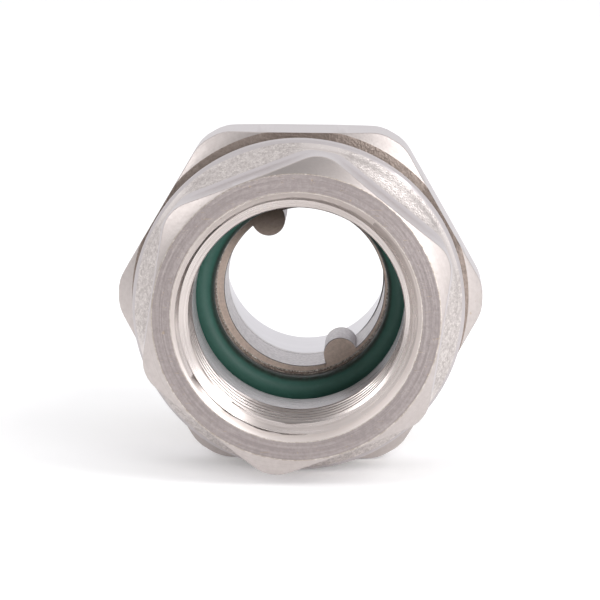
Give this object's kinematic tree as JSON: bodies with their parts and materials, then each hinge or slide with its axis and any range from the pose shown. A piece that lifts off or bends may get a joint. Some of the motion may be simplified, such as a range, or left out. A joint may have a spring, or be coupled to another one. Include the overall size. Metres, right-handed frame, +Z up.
{
  "type": "straight pipe union",
  "caption": "Straight pipe union with a hexagonal female end, a large union nut and a tailpiece with a male pipe thread, sealed by a rubber ring.",
  "frame": {"origin": "on the ground under the middle of the fitting, which lies on a flat of its nut", "axes": "+Y along the bore from the female end to the male end, +Z up"},
  "size_m": [0.0422, 0.0524, 0.038],
  "materials": {
    "plated_body": "nickel-plated, turned and bead-blasted",
    "plated_nut": "nickel-plated, turned",
    "plated_tail": "nickel-plated, turned, with a bead-blasted bore",
    "green_rubber": "glossy"
  },
  "bodies": {
    "female_end": {"union_body": "plated_body"},
    "seal": {"o_ring": "green_rubber"},
    "tail": {"tailpiece": "plated_tail"},
    "nut": {"union_nut": "plated_nut"}
  },
  "joints": [
    {"name": "tail_draw", "type": "slide", "parent": "female_end", "child": "seal", "axis": [0, 1, 0], "range_m": [0, 0.00924]},
    {"name": "tail_swivel", "type": "hinge", "parent": "seal", "child": "tail", "pos_m": [0, 0, 0.019], "axis": [0, 1, 0], "continuous": true},
    {"name": "nut_turn", "type": "hinge", "parent": "seal", "child": "nut", "pos_m": [0, 0, 0.019], "axis": [0, 1, 0], "range_deg": [0, 1440]}
  ],
  "couplings": [
    {"joint": "nut_turn", "follows": "tail_draw", "rad_per_m": 2721.2}
  ]
}
